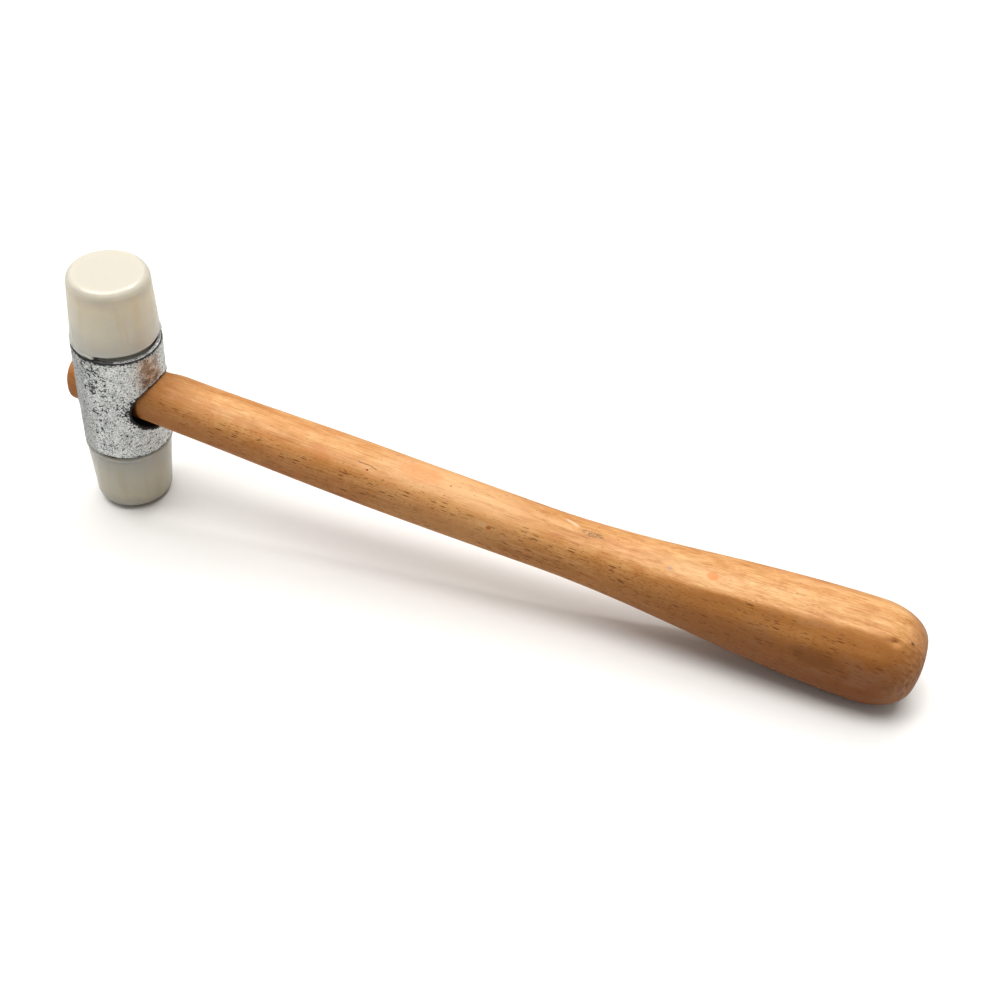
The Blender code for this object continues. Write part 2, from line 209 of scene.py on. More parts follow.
def dress(piece, to_world, body, node, material):
    """Take a finished piece from the head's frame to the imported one, with its body, CAD node and finish."""
    piece.data.shade_smooth()
    piece.data.set_sharp_from_angle(angle=math.radians(SHARP_ANGLE))
    piece.data.transform(to_world)
    piece.data.materials.clear()
    piece.data.materials.append(material)
    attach(piece, body)
    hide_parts(node)


# The frame ----------------------------------------------------------------------------------------

def head_to_world(record):
    """The head's frame, from the two striking faces that the record gives."""
    upper, lower = [Vector(mount["pos_m"]) for mount in record["mounts"]]
    along_head = (upper - lower).normalized()
    across = Vector((0.0, 1.0, 0.0))
    along_handle = across.cross(along_head)
    turn = Matrix((along_handle, across, along_head)).transposed().to_4x4()
    return Matrix.Translation(0.5 * (upper + lower)) @ turn


def node_box(node, to_world):
    """Lowest and highest corner of a CAD node in the head's frame, in millimetres."""
    to_head = np.array(to_world.inverted())
    points = np.array([vert.co for vert in node.data.vertices]) @ to_head[:3, :3].T + to_head[:3, 3]
    return points.min(axis=0) / MM, points.max(axis=0) / MM


def measure_frame(frame, to_world):
    """The driving sizes, in millimetres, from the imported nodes."""
    _, head_high = node_box(frame["nodes"]["head_body"], to_world)
    _, face_high = node_box(frame["nodes"]["face_upper"], to_world)
    handle_low, handle_high = node_box(frame["nodes"]["handle"], to_world)
    return {
        "head_radius": head_high[1],
        "rim_z": head_high[2],
        "face_end_z": face_high[2],
        "handle_front": handle_low[0],
        "handle_end": handle_high[0],
    }


# Head casting -------------------------------------------------------------------------------------

def stamp(depth, s_axis, z_axis, place, size, angle, deepest):
    """Press one oval pit into the depth field of the unrolled wall."""
    half_long, half_wide = size
    step = s_axis[1] - s_axis[0]
    reach = half_long + step
    columns = np.arange(math.floor((place[0] - reach) / step), math.ceil((place[0] + reach) / step) + 1)
    rows = np.nonzero(np.abs(z_axis - place[1]) <= reach)[0]
    ds = (columns * step - place[0])[None, :]
    dz = (z_axis[rows] - place[1])[:, None]
    u = (ds * math.cos(angle) + dz * math.sin(angle)) / half_long
    v = (-ds * math.sin(angle) + dz * math.cos(angle)) / half_wide
    bowl = deepest * np.clip(1.15 * (1.0 - u * u - v * v), 0.0, 1.0)
    window = np.ix_(rows, columns % len(s_axis))
    depth[window] = np.maximum(depth[window], bowl)


def wall_depths(s_axis, z_axis, radius, wall_half):
    """Depth of the casting's pits, gouges and scratches over the unrolled wall, in millimetres."""
    draw = random.Random(41)
    depth = np.zeros((len(z_axis), len(s_axis)))

    def scatter(count, degrees, heights, longs, slimness, deeps, angles=(0.0, math.pi)):
        """Marks between two angles round the wall and two shares of half its height, drawn at random."""
        for _ in range(count):
            s = math.radians(draw.uniform(*degrees)) * radius
            z = draw.uniform(*heights) * wall_half
            half_long = draw.uniform(*longs)
            half_wide = max(half_long / draw.uniform(*slimness), PIT_LEAST_HALF)
            stamp(depth, s_axis, z_axis, (s, z), (half_long, half_wide),
                  draw.uniform(*angles), draw.uniform(*deeps))

    # Fine and larger pits all round.
    scatter(1300, (-180, 180), (-1, 1), (0.13, 0.28), (1.0, 1.6), (0.06, 0.20))
    scatter(460, (-180, 180), (-1, 1), (0.20, 0.48), (1.0, 2.6), (0.14, 0.30))
    # Gouges on the front and the back, then pits left of the front.
    scatter(80, (-98, -74), (-1, 0.75), (0.4, 1.0), (2.4, 4.5), (0.14, 0.30))
    scatter(60, (85, 107), (-0.9, 0.9), (0.4, 1.0), (2.4, 4.5), (0.14, 0.30))
    scatter(260, (-160, -104), (-0.95, 0.95), (0.15, 0.42), (1.2, 3.0), (0.12, 0.26))
    # Slanting nicks under the upper rim, nicks right of the front, gouges high on it.
    scatter(26, (-112, -76), (0.72, 0.99), (0.7, 1.6), (5.0, 8.0), (0.12, 0.22), (-0.75, -0.55))
    scatter(12, (-66, -55), (-0.12, 0.18), (0.4, 0.8), (2.2, 3.5), (0.16, 0.28))
    scatter(34, (-108, -86), (0.35, 0.98), (0.45, 1.1), (2.5, 4.5), (0.16, 0.30))
    return depth


def outline_distance(y, z, half_width, half_height, centre_z):
    """About how far a point lies outside the eye's outline, along the line from the eye's centre."""
    scaled = np.abs(y / half_width) ** EYE_POWER + np.abs((z - centre_z) / half_height) ** EYE_POWER
    scaled = np.maximum(scaled ** (1.0 / EYE_POWER), 1e-6)
    return np.hypot(y, z - centre_z) * (1.0 - 1.0 / scaled)


def eye_relief(angles, z_axis, radius):
    """How far the wall stands out round both ends of the eye: a low lip with a rounded inner edge."""
    y = (radius * np.sin(angles))[None, :]
    z = z_axis[:, None]
    relief = np.zeros((len(z_axis), len(angles)))
    for side, eye, rise in ((1.0, EYE_BACK, LIP_RISE), (-1.0, EYE_FRONT, 0.5 * LIP_RISE)):
        distance = outline_distance(y, z, *eye)
        lip = rise * (1.0 - smoothstep(distance, EYE_EDGE_RADIUS, LIP_WIDTH))
        inward = np.clip(EYE_EDGE_RADIUS - distance, 0.0, EYE_EDGE_RADIUS)
        lip -= EYE_EDGE_RADIUS - np.sqrt(EYE_EDGE_RADIUS ** 2 - inward ** 2)
        relief += np.where(side * np.cos(angles)[None, :] > 0.0, lip, 0.0)
    return relief


def head_rows(sizes):
    """Rings of the casting from the floor of the upper socket round the wall to the lower one."""
    radius, rim_z = sizes["head_radius"], sizes["rim_z"]
    wall_half = rim_z - CHAMFER_RISE
    angles = ring_angles(HEAD_COLUMNS)
    s_axis = radius * angles
    z_axis = np.linspace(wall_half, -wall_half, round(2.0 * wall_half / WALL_STEP) + 1)
    around = np.stack([np.cos(angles), np.sin(angles)], axis=-1)

    wall = np.zeros((len(z_axis), HEAD_COLUMNS, 3))
    wall[..., :2] = radius * around
    wall[..., 2] = z_axis[:, None]
    waves = 0.05 * grid_noise(wall, 3.2, 1) + 0.025 * grid_noise(wall, 0.7, 2)
    near_end = smoothstep(np.abs(z_axis), wall_half - 0.9, wall_half)[:, None]
    chipped = near_end * (0.12 + 0.25 * np.clip(grid_noise(wall, 0.9, 3) + 0.1, 0.0, 1.0))
    depth = wall_depths(s_axis, z_axis, radius, wall_half)
    local = radius + eye_relief(angles, z_axis, radius) + np.minimum(waves, 0.0) - depth - chipped
    wall[..., :2] = local[..., None] * around

    def ring(r, z):
        return np.column_stack([r * around, np.full(HEAD_COLUMNS, z)])

    mouth = SOCKET_RADIUS + SOCKET_CHAMFER
    floor_z = rim_z - SOCKET_DEPTH
    end = [(r, floor_z) for r in (4.0, 8.0, SOCKET_RADIUS - SOCKET_CORNER)]
    end += [(SOCKET_RADIUS, floor_z + SOCKET_CORNER), (SOCKET_RADIUS, 0.5 * (floor_z + rim_z))]
    end += [(SOCKET_RADIUS, rim_z - SOCKET_CHAMFER), (mouth - EDGE, rim_z - EDGE), (mouth + EDGE, rim_z)]
    end += [(radius - CHAMFER_RUN, rim_z), (radius - CHAMFER_RUN + 0.08, rim_z - EDGE)]
    end += [(radius - CHAMFER_RUN + 0.2, wall_half - 0.01)]
    top = [ring(r, z) for r, z in end]
    bottom = [ring(r, -z) for r, z in reversed(end)]
    return np.concatenate([np.stack(top), wall, np.stack(bottom)])


def eye_cutter(sizes):
    """The oval hole for the handle, a little ragged, as cast, where it opens on the grip side."""
    radius = sizes["head_radius"]
    rows = []
    for x in np.linspace(-radius - EYE_OVERCUT, radius + EYE_OVERCUT, EYE_STATIONS):
        share = (x + radius) / (2.0 * radius)
        outline = [mix(front, back, share) for front, back in zip(EYE_FRONT, EYE_BACK)]
        rows.append(oval_ring(x, *outline, ring_angles(EYE_POINTS), EYE_POWER))
    rows = np.stack(rows)
    rough = grid_noise(rows, 0.9, 4)
    lower_left = smoothstep(-rows[..., 1] - rows[..., 2], 2.0, 9.0)
    outward = (0.03 + 0.22 * lower_left * smoothstep(rows[..., 0], 2.0, 8.0)) * rough
    length = np.hypot(rows[..., 1], rows[..., 2])
    rows[..., 1:] *= (1.0 + outward / length)[..., None]
    return skin("eye_cutter", rows)


def make_head(sizes, to_world, material):
    head = skin("head_casting", head_rows(sizes))
    cut(head, eye_cutter(sizes))
    dress(head, to_world, "head_and_handle", "head_body", material)


# Nylon faces --------------------------------------------------------------------------------------

def face_rows(sizes, seed):
    """Rings of one nylon face from the middle of its striking end down to the shank's end."""
    end_z, rim_z = sizes["face_end_z"], sizes["rim_z"]
    angles = ring_angles(FACE_COLUMNS)
    degrees = np.degrees(angles)
    collar_base = rim_z + COLLAR_GAP
    collar_top = collar_base + COLLAR_HEIGHT
    shank_end = rim_z - SOCKET_DEPTH + SHANK_GAP

    body = [(r, end_z) for r in np.linspace(0.4, FACE_END_RADIUS - FACE_CORNER, 16)]
    for turn in np.linspace(0.0, math.radians(FACE_CORNER_TURN), 15)[1:]:
        r = FACE_END_RADIUS - FACE_CORNER + FACE_CORNER * math.sin(turn)
        body.append((r, end_z - FACE_CORNER + FACE_CORNER * math.cos(turn)))
    side_start, side_end = np.array(body[-1]), np.array((FACE_BASE_RADIUS, collar_top + 0.25))
    body += [tuple(mix(side_start, side_end, share)) for share in np.linspace(0.0, 1.0, 56)[1:]]
    collar = [(FACE_BASE_RADIUS - 0.06, collar_top + 0.1), (FACE_BASE_RADIUS - 0.25, collar_top),
              (COLLAR_RADIUS - 0.05, mix(collar_base, collar_top, 0.8)),
              (COLLAR_RADIUS, mix(collar_base, collar_top, 0.65)),
              (COLLAR_RADIUS, mix(collar_base, collar_top, 0.45)),
              (COLLAR_RADIUS - 0.1, mix(collar_base, collar_top, 0.3)),
              (COLLAR_RADIUS - 0.45, collar_base), (COLLAR_RADIUS - 0.7, collar_base)]
    first_collar = len(body) + 2
    first_shank = len(body) + len(collar)
    shank = [(SHANK_RADIUS, collar_base)]
    shank += [(SHANK_RADIUS, z) for z in np.linspace(collar_base, shank_end + 0.6, 46)[1:]]
    shank += [(SHANK_RADIUS - 0.3, shank_end + 0.2), (SHANK_RADIUS - 0.7, shank_end), (5.0, shank_end)]
    profile = body + collar + shank

    radii = np.array([r for r, _ in profile])[:, None] * np.ones(FACE_COLUMNS)
    heights = np.array([z for _, z in profile])[:, None] * np.ones(FACE_COLUMNS)
    start, end = COLLAR_BREAK
    past_start = (degrees - start) % 360.0
    span = end - start
    missing = smoothstep(past_start, 0.0, BREAK_END) * (1.0 - smoothstep(past_start, span - BREAK_END, span))
    on_collar = slice(first_collar, first_shank)
    radii[on_collar] = mix(radii[on_collar], SHANK_RADIUS + 0.02, missing)
    burr = COLLAR_BURR * np.exp(-(((degrees - end + 360.0) % 360.0 - 10.0) / 7.0) ** 2)
    radii[first_collar + 1:first_shank - 2] += burr

    low, high = shank_end + THREAD_PLAIN, rim_z - THREAD_PLAIN
    phase = (heights / THREAD_PITCH - degrees[None, :] / 360.0) % 1.0
    ridge = np.sqrt(np.clip(1.0 - ((phase - 0.5) / THREAD_HALF) ** 2, 0.0, 1.0))
    fade = smoothstep(heights, low - 0.6, low + 0.3) * (1.0 - smoothstep(heights, high - 0.3, high + 0.6))
    on_shank = np.arange(len(profile))[:, None] >= first_shank
    thread = (THREAD_CREST - SHANK_RADIUS) * ridge * fade
    radii += np.where(on_shank & (heights > shank_end + 0.3), thread, 0.0)

    rows = np.stack([radii * np.cos(angles), radii * np.sin(angles), heights], axis=-1)
    height = heights[:first_collar]
    sink = 0.03 * grid_noise(rows[:first_collar], 6.5, seed) - 0.035
    dents = np.clip(-grid_noise(rows[:first_collar], 2.2, seed + 1) - 0.3, 0.0, 1.0)
    from_axis = np.maximum(radii[:first_collar], 1e-6)
    broken = smoothstep(past_start, -1.0, 46.0)
    broken = broken * (1.0 - smoothstep(past_start, span - 30.0, span + 4.0))
    broken = broken * (1.0 - smoothstep(height, collar_top, collar_top + 6.0))
    inset = np.where(height < end_z - 4.0, BREAK_INSET * broken, 0.0)
    on_end = smoothstep(height, end_z - 1.4, end_z)
    fade_base = smoothstep(height, collar_top + 0.2, collar_top + 1.5)
    rows[:first_collar, :, 2] += (sink - 0.05 * dents) * on_end
    shrink = 1.0 + (sink * (1.0 - on_end) * fade_base - inset) / from_axis
    rows[:first_collar, :, :2] *= shrink[..., None]
    return rows


def make_face(name, sizes, seed, turn_degrees, upside_down, to_world, body, node, material):
    flip = Matrix.Rotation(math.pi if upside_down else 0.0, 4, "X")
    turn = Matrix.Rotation(math.radians(turn_degrees), 4, "Z")
    face = skin(name, face_rows(sizes, seed))
    face.data.transform(turn @ flip)
    dress(face, to_world, body, node, material)


# Handle and wedges --------------------------------------------------------------------------------

def handle_centre(x, sizes):
    along = x / sizes["handle_end"]
    bowed = HANDLE_RISE + HANDLE_SLOPE * x + HANDLE_BOW * 4.0 * along * (1.0 - along)
    return mix(EYE_CENTRE_Z, bowed, smoothstep(x, EYE_FIT_X, NECK_X))


def handle_halves(x, sizes):
    """Half width and half height of the handle at x."""
    height = mix(NECK_HALF, SHAFT_HALF, smoothstep(x, NECK_X, SHAFT_X))
    height = mix(height, GRIP_HALF, smoothstep(x, *SWELL_X))
    width = height * mix(1.0, GRIP_WIDTH_RATIO, smoothstep(x, *RATIO_X))
    fit = smoothstep(x, sizes["handle_front"], EYE_FIT_X)
    out = smoothstep(x, EYE_FIT_X, NECK_X)
    return (mix(mix(FRONT_HALF[0], FIT_HALF[0], fit), width, out),
            mix(mix(FRONT_HALF[1], FIT_HALF[1], fit), height, out))


def handle_stations(sizes):
    """(x, half width, half height) of each ring from the front end to the butt."""
    front, end = sizes["handle_front"], sizes["handle_end"] - BUTT_INSET
    stations = []
    for turn in np.linspace(0.0, 0.5 * math.pi, 8):
        x = front + HANDLE_ROUND * (1.0 - math.cos(turn))
        inset = HANDLE_ROUND * (1.0 - math.sin(turn))
        half_width, half_height = handle_halves(x, sizes)
        stations.append((x, half_width - inset, half_height - inset))
    inner = [(front, stations[0][1] * s, stations[0][2] * s) for s in (0.15, 0.4, 0.6, 0.8, 0.93)]
    shaft_end = end - BUTT_LENGTH
    for x in np.linspace(front + HANDLE_ROUND, shaft_end, HANDLE_STATIONS)[1:]:
        stations.append((x, *handle_halves(x, sizes)))
    end_width, end_height = handle_halves(shaft_end, sizes)
    for turn in np.linspace(0.0, 0.5 * math.pi, BUTT_STATIONS)[1:]:
        x = shaft_end + BUTT_LENGTH * math.sin(turn) ** (2.0 / BUTT_POWER)
        share = max(math.cos(turn), 0.0) ** (2.0 / BUTT_POWER)
        stations.append((x, mix(BUTT_FLAT * GRIP_WIDTH_RATIO, end_width, share),
                         mix(BUTT_FLAT, end_height, share)))
    last = stations[-1]
    outer = [(end, last[1] * s, last[2] * s) for s in (0.85, 0.6, 0.35, 0.12)]
    return inner + stations + outer


def handle_rows(sizes):
    angles = ring_angles(HANDLE_POINTS)
    rows = np.stack([oval_ring(*station, 0.0, angles, SECTION_POWER) for station in handle_stations(sizes)])
    x = rows[..., 0]
    degrees = np.degrees(np.arctan2(rows[..., 2], rows[..., 1]))
    distance = np.hypot(rows[..., 1], rows[..., 2])
    sanding = 0.10 * grid_noise(rows * np.array([0.16, 1.0, 1.0]), 5.5, 21)
    along_grip = smoothstep(x, 166.0, 200.0) * (1.0 - smoothstep(x, 240.0, 249.0))
    ridge_angle = RIDGE_START + RIDGE_SLOPE * (x - SWELL_X[0])
    off_ridge = degrees - ridge_angle
    ridge = RIDGE_RISE * np.exp(-np.abs(off_ridge) / 6.5)
    ridge -= RIDGE_HOLLOW * np.exp(-((np.abs(off_ridge) - 17.0) / 9.0) ** 2)
    far_ridge = 0.2 * np.exp(-((degrees - 180.0 + ridge_angle) / 9.0) ** 2)
    nick = -NICK_DEPTH * np.exp(-((x - NICK_PLACE[0]) / 1.3) ** 2 - ((degrees - NICK_PLACE[1]) / 3.4) ** 2)
    bottom = 1.0 - smoothstep(degrees, -135.0, -75.0) * (1.0 - smoothstep(degrees, -105.0, -45.0))
    fitted = smoothstep(x, EYE_FIT_X, NECK_X + 4.0)
    outward = fitted * (bottom * (sanding - 0.05) + along_grip * (ridge + far_ridge) + nick)
    outward *= smoothstep(sizes["handle_end"] - x, 0.2, 3.0)
    scale = 1.0 + outward / np.maximum(distance, 1e-6)
    rows[..., 1] *= scale
    rows[..., 2] = rows[..., 2] * scale + handle_centre(x, sizes)
    return rows


def tapered_plate(name, front_x, depth, widths, span, across):
    """A wedge driven along +X, `widths` thick at its two ends and `span` long along `across`."""
    shape = bmesh.new()
    bmesh.ops.create_cube(shape, size=1.0)
    for vert in shape.verts:
        is_tip = vert.co.x > 0.0
        y, z = (widths[is_tip], span) if across == "Z" else (span, widths[is_tip])
        vert.co = (front_x + depth * is_tip, vert.co.y * y, EYE_CENTRE_Z + vert.co.z * z)
        vert.co *= MM
    mesh = bpy.data.meshes.new(name)
    shape.to_mesh(mesh)
    shape.free()
    return add_object(name, mesh)


def steel_slot(wedge_x, front_x):
    """The slot that the steel wedge has opened in the end grain and in the hardwood wedge."""
    depth, widths, span = STEEL_WEDGE
    slot_widths = [width + 2.0 * CLEARANCE for width in widths]
    slot = tapered_plate("steel_slot", wedge_x, depth + CLEARANCE, slot_widths, span + 2.0 * CLEARANCE, "Y")
    for vert in slot.data.vertices:
        if vert.co.x < (wedge_x + 0.5 * depth) * MM:
            vert.co.x = (front_x - 1.0) * MM
    return slot


def finish_wedge(piece, seed):
    """Round a wedge's edges, refine it and roughen it a little all over."""
    bevel = piece.modifiers.new("edges", "BEVEL")
    bevel.width = WEDGE_BEVEL * MM
    bevel.segments = 2
    apply_modifiers(piece)
    shape = bmesh.new()
    shape.from_mesh(piece.data)
    for _ in range(4):
        long_edges = [edge for edge in shape.edges if edge.calc_length() > WEDGE_GRID * MM]
        bmesh.ops.subdivide_edges(shape, edges=long_edges, cuts=1, use_grid_fill=True)
    bmesh.ops.triangulate(shape, faces=shape.faces)
    noise.seed_set(seed)
    for vert in shape.verts:
        vert.co += WEDGE_ROUGHNESS * MM * noise.noise_vector(vert.co / (WEDGE_GRID * MM))
    shape.to_mesh(piece.data)
    shape.free()


def make_handle_and_wedges(sizes, to_world, materials):
    front_x = sizes["handle_front"]
    wedge_x = front_x + WEDGE_SET_BACK
    handle = skin("handle_beech", handle_rows(sizes))
    kerf = tapered_plate("kerf", front_x - 1.0, KERF_DEPTH + 1.0, KERF_WIDTHS, KERF_SPAN, "Z")
    cut(handle, kerf, steel_slot(wedge_x, front_x))
    dress(handle, to_world, "head_and_handle", "handle", materials["beech"])

    wood = tapered_plate("wedge_hardwood", wedge_x, *WOOD_WEDGE, "Z")
    cut(wood, steel_slot(wedge_x, front_x))
    finish_wedge(wood, 3)
    dress(wood, to_world, "head_and_handle", "wedge_wood", materials["wedge_wood"])
    steel = tapered_plate("wedge_mild_steel", wedge_x, *STEEL_WEDGE, "Y")
    finish_wedge(steel, 8)
    dress(steel, to_world, "head_and_handle", "wedge_steel", materials["wedge_steel"])


# Nodes --------------------------------------------------------------------------------------------

def put(tree, socket, value):
    """Link a socket to an input, or set the input to a plain value."""
    if isinstance(value, bpy.types.NodeSocket):
        tree.links.new(value, socket)
    elif isinstance(value, tuple) and len(value) == 3 and socket.type == "RGBA":
        socket.default_value = (*value, 1.0)
    else:
        socket.default_value = value


def add_node(tree, kind, inputs, **settings):
    """Add a node with its settings, and its inputs by name or number."""
    node = tree.nodes.new("ShaderNode" + kind)
    for name, value in settings.items():
        setattr(node, name, value)
    for key, value in inputs.items():
        put(tree, node.inputs[key], value)
    return node


def add_ramp(tree, share, stops):
    node = add_node(tree, "ValToRGB", {0: share})
    elements = node.color_ramp.elements
    while len(elements) < len(stops):
        elements.new(0.5)
    for element, (place, colour) in zip(elements, stops):
        element.position = place
        element.color = (*colour, 1.0)
    return node.outputs[0]


def camera_switch(tree, elsewhere, seen):
    """For the stage only: `seen` where the camera looks straight at it, `elsewhere` for all other light."""
    path = add_node(tree, "LightPath", {})
    inputs = {0: path.outputs["Is Camera Ray"], 6: elsewhere, 7: seen}
    return add_node(tree, "Mix", inputs, data_type="RGBA").outputs[2]


class Shading:
    """A material and short calls that add nodes to it. Inputs are sockets or plain values.

    Places and normals are in the head's frame, in millimetres. A rate is a number of cells a millimetre, one
    number for all directions or one for each axis.
    """

    def __init__(self, name, to_world):
        self.material = bpy.data.materials.new(name)
        self.material.use_nodes = True
        self.tree = self.material.node_tree
        self.shader = self.tree.nodes["Principled BSDF"]
        coordinates = add_node(self.tree, "TexCoord", {})
        inputs = {"Vector": coordinates.outputs["Object"], "Location": to_world.translation,
                  "Rotation": to_world.to_euler(), "Scale": (MM, MM, MM)}
        self.place = add_node(self.tree, "Mapping", inputs, vector_type="TEXTURE").outputs["Vector"]
        self.x, self.y, self.z = self.split(self.place)
        inputs = {"Vector": coordinates.outputs["Normal"], "Rotation": to_world.inverted().to_euler()}
        normal = add_node(self.tree, "Mapping", inputs, vector_type="VECTOR")
        self.normal = self.split(normal.outputs["Vector"])

    def split(self, vector):
        node = add_node(self.tree, "SeparateXYZ", {0: vector})
        return node.outputs[0], node.outputs[1], node.outputs[2]

    def vectors(self, operation, first, second, output="Vector"):
        return add_node(self.tree, "VectorMath", {0: first, 1: second}, operation=operation).outputs[output]

    def math(self, operation, *values, clamp=False):
        inputs = dict(enumerate(values))
        return add_node(self.tree, "Math", inputs, operation=operation, use_clamp=clamp).outputs[0]

    def times(self, first, *others):
        for value in others:
            first = self.math("MULTIPLY", first, value)
        return first

    def plus(self, first, *others):
        for value in others:
            first = self.math("ADD", first, value)
        return first

    def minus(self, value, less):
        return self.math("SUBTRACT", value, less)

    def linear(self, value, slope, start):
        """slope x value + start"""
        return self.math("MULTIPLY_ADD", value, slope, start)

    def most(self, first, second):
        return self.math("MAXIMUM", first, second)

    def size(self, value):
        return self.math("ABSOLUTE", value)

    def from_axis(self):
        """Distance from the head's axis."""
        return self.math("SQRT", self.plus(self.math("POWER", self.x, 2.0), self.math("POWER", self.y, 2.0)))

    def degrees(self, up, across):
        return self.times(self.math("ARCTAN2", up, across), 180.0 / math.pi)

    def step(self, value, start, end):
        """0 below start and 1 above end, smooth between them; start may be the larger one."""
        rises = float(start < end)
        inputs = {"Value": value, "From Min": min(start, end), "From Max": max(start, end),
                  "To Min": 1.0 - rises, "To Max": rises}
        return add_node(self.tree, "MapRange", inputs, interpolation_type="SMOOTHSTEP").outputs["Result"]

    def band(self, value, middle, half, soft):
        """1 within `half` of `middle`, falling to 0 over `soft`."""
        return self.step(self.size(self.minus(value, middle)), half + soft, half)

    def oval(self, outline):
        """1 on the eye's outline, more outside it."""
        half_width, half_height, centre_z = outline
        across = self.size(self.math("DIVIDE", self.y, half_width))
        up = self.size(self.math("DIVIDE", self.minus(self.z, centre_z), half_height))
        total = self.plus(self.math("POWER", across, EYE_POWER), self.math("POWER", up, EYE_POWER))
        return self.math("POWER", total, 1.0 / EYE_POWER)

    def at_rate(self, rate):
        """The inputs that a texture needs for a rate."""
        if isinstance(rate, tuple):
            return {"Vector": self.vectors("MULTIPLY", self.place, rate), "Scale": 1.0}
        return {"Vector": self.place, "Scale": rate}

    def noise(self, rate, detail=3.0, roughness=0.55, distortion=0.0):
        inputs = self.at_rate(rate)
        inputs.update({"Detail": detail, "Roughness": roughness, "Distortion": distortion})
        return add_node(self.tree, "TexNoise", inputs).outputs["Fac"]

    def patches(self, rate, start, end, detail=3.0, roughness=0.55):
        """Soft-edged random patches."""
        return self.step(self.noise(rate, detail, roughness), start, end)

    def cells(self, rate, **inputs):
        """Distance to the nearest of scattered points, and three random numbers for each of them."""
        node = add_node(self.tree, "TexVoronoi", {**self.at_rate(rate), **inputs})
        return node.outputs["Distance"], self.split(node.outputs["Color"])

    def paint(self, colour, new_colour, mask, strength=1.0, mode="MIX"):
        """A colour with a new one over it where the mask is 1."""
        share = mask if strength == 1.0 else self.times(mask, strength)
        inputs = {0: share, 6: colour, 7: new_colour}
        return add_node(self.tree, "Mix", inputs, data_type="RGBA", blend_type=mode).outputs[2]

    def ramp(self, share, *stops):
        return add_ramp(self.tree, share, stops)

    def finish(self, height, depth_mm, strength, **inputs):
        """Set the shader's inputs, and a fine bump that is `depth_mm` deep."""
        bump = {"Strength": strength, "Distance": depth_mm * MM, "Height": height}
        inputs["Normal"] = add_node(self.tree, "Bump", bump).outputs["Normal"]
        for name, value in inputs.items():
            put(self.tree, self.shader.inputs[name.replace("_", " ")], value)
        return self.material


# Materials ----------------------------------------------------------------------------------------

def zinc_specks(m):
    """Dark specks in the plating: crooked large ones and round small ones."""
    crooked = m.vectors("MULTIPLY", m.noise(1.8, 3.0, 0.6), (1.1, 1.1, 1.1))
    crooked = m.vectors("ADD", m.vectors("MULTIPLY", m.place, (1.0, 1.0, 1.3)), crooked)
    coarse, pick = m.cells(1.15, Vector=crooked)
    reach = m.linear(pick[1], 0.24, 0.13)
    large = m.times(m.step(m.minus(reach, coarse), -0.03, 0.03), m.step(pick[0], 0.40, 0.48))
    fine, pick = m.cells(2.3)
    small = m.times(m.step(fine, 0.36, 0.16), m.step(pick[0], 0.42, 0.55))
    return m.most(m.times(large, 0.97), m.times(small, 0.88))


